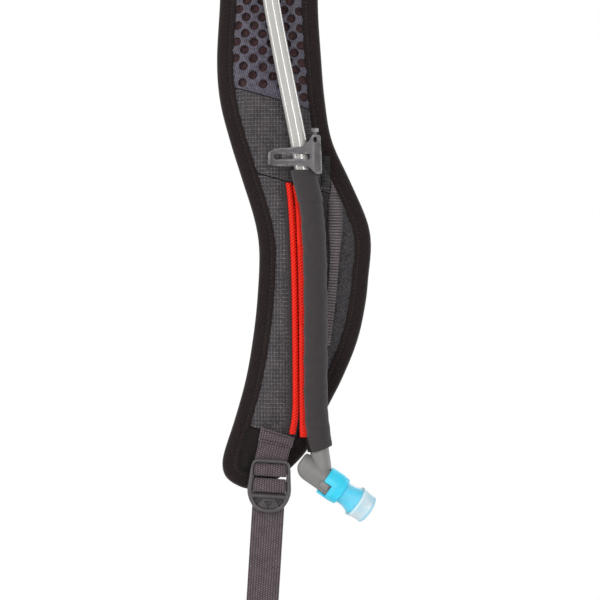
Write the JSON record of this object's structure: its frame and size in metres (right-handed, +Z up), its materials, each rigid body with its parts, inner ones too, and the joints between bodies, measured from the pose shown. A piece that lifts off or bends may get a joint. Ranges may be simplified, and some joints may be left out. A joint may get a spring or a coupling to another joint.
{
  "type": "hydration pack shoulder strap",
  "caption": "Padded pack shoulder strap with a clipped drinking hose in a magnetic sleeve, a swivelling bite valve and adjusting webbing with its buckle.",
  "frame": {"origin": "middle of the yoke seam tab's top face, where the strap is sewn to the pack", "axes": "+Z up along the strap, the front face looks along -Y, the wearer is at +Y, +X is to the right seen from the front"},
  "size_m": [0.0958, 0.0859, 0.6947],
  "materials": {
    "black_binding": "woven tape",
    "spacer_mesh": "knitted, perforated",
    "ripstop": "ripstop weave",
    "stretch_cloth": "mottled stretch knit",
    "foam": "closed-cell foam",
    "back_mesh": "knitted",
    "webbing": "ribbed webbing",
    "hose_plastic": "clear, glossy",
    "sleeve_cloth": "plain weave sleeve",
    "red_piping": "twill cord",
    "magnet": "plated",
    "clip_plastic": "moulded, satin",
    "elbow_plastic": "moulded, satin",
    "collar_plastic": "moulded, satin",
    "valve_silicone": "soft, clear",
    "seal_rubber": "soft"
  },
  "bodies": {
    "strap": {"foam_core": "foam", "edge_binding": "black_binding", "top_spacer_mesh": "spacer_mesh", "upper_ripstop_panel": "ripstop", "lower_ripstop_panel": "ripstop", "side_stretch_panel": "stretch_cloth", "bottom_reinforcement": "black_binding", "back_mesh_panel": "back_mesh", "yoke_seam_tab": "black_binding", "rail_webbing": "webbing", "elastic_loop": "stretch_cloth", "strap_piping": "red_piping", "strap_magnet": "magnet", "hose_upper": "hose_plastic", "sleeve_cuff": "sleeve_cloth", "cuff_piping": "red_piping", "hose_keeper_loop": "stretch_cloth", "hose_clip": "clip_plastic", "buckle_tab_webbing": "webbing", "load_webbing": "webbing", "tail_webbing": "webbing", "hose_over_yoke": "hose_plastic", "hose_hank": "hose_plastic", "hose_tie": "stretch_cloth", "hose_plug": "elbow_plastic"},
    "sleeve_1": {"hose_link_1": "hose_plastic", "sleeve_link_1": "sleeve_cloth", "sleeve_piping_1": "red_piping", "sleeve_magnet_1": "magnet"},
    "sleeve_2": {"hose_link_2": "hose_plastic", "sleeve_link_2": "sleeve_cloth", "sleeve_piping_2": "red_piping", "sleeve_magnet_2": "magnet"},
    "sleeve_3": {"hose_link_3": "hose_plastic", "sleeve_link_3": "sleeve_cloth", "sleeve_piping_3": "red_piping", "sleeve_magnet_3": "magnet"},
    "elbow": {"elbow": "elbow_plastic"},
    "valve": {"twist_collar": "collar_plastic", "stem_o_ring": "seal_rubber", "bite_valve": "valve_silicone"},
    "buckle": {"ladder_lock": "clip_plastic", "tab_wrap": "webbing", "grip_wrap": "webbing"},
    "webbing_anchor": {"webbing_end": "webbing"},
    "tail": {"tail_end": "webbing"}
  },
  "joints": [
    {"name": "sleeve_swing_1", "type": "hinge", "parent": "strap", "child": "sleeve_1", "pos_m": [0.0258, -0.0173, -0.2646], "axis": [0, -1, 0], "range_deg": [0, 22]},
    {"name": "sleeve_swing_2", "type": "hinge", "parent": "sleeve_1", "child": "sleeve_2", "pos_m": [0.0284, -0.0173, -0.312], "axis": [0, -1, 0], "range_deg": [0, 16]},
    {"name": "sleeve_swing_3", "type": "hinge", "parent": "sleeve_2", "child": "sleeve_3", "pos_m": [0.0286, -0.0173, -0.36], "axis": [0, -1, 0], "range_deg": [0, 15]},
    {"name": "elbow_swivel", "type": "hinge", "parent": "sleeve_3", "child": "elbow", "pos_m": [0.03032, -0.0173, -0.404], "axis": [0.0829, 0, -0.9966], "range_deg": [0, 90]},
    {"name": "valve_twist", "type": "hinge", "parent": "elbow", "child": "valve", "pos_m": [0.0255, -0.0173, -0.4223], "axis": [-0.8191, 0, 0.5736], "range_deg": [0, 60]},
    {"name": "buckle_tilt", "type": "hinge", "parent": "strap", "child": "buckle", "pos_m": [0.00188, -0.0116, -0.41681], "axis": [-0.9981, 0, 0.0611], "range_deg": [0, 25]},
    {"name": "webbing_adjust", "type": "slide", "parent": "strap", "child": "webbing_anchor", "axis": [0.0611, 0, 0.9981], "range_m": [0, 0.06], "deforming": ["load_webbing"]},
    {"name": "tail_slide", "type": "slide", "parent": "strap", "child": "tail", "axis": [-0.0611, 0, -0.9981], "range_m": [0, 0.06], "deforming": ["tail_webbing"]}
  ],
  "couplings": [
    {"joint": "sleeve_swing_2", "follows": "sleeve_swing_1", "ratio": 0.727},
    {"joint": "sleeve_swing_3", "follows": "sleeve_swing_1", "ratio": 0.6815},
    {"joint": "tail_slide", "follows": "webbing_adjust", "ratio": 1}
  ]
}
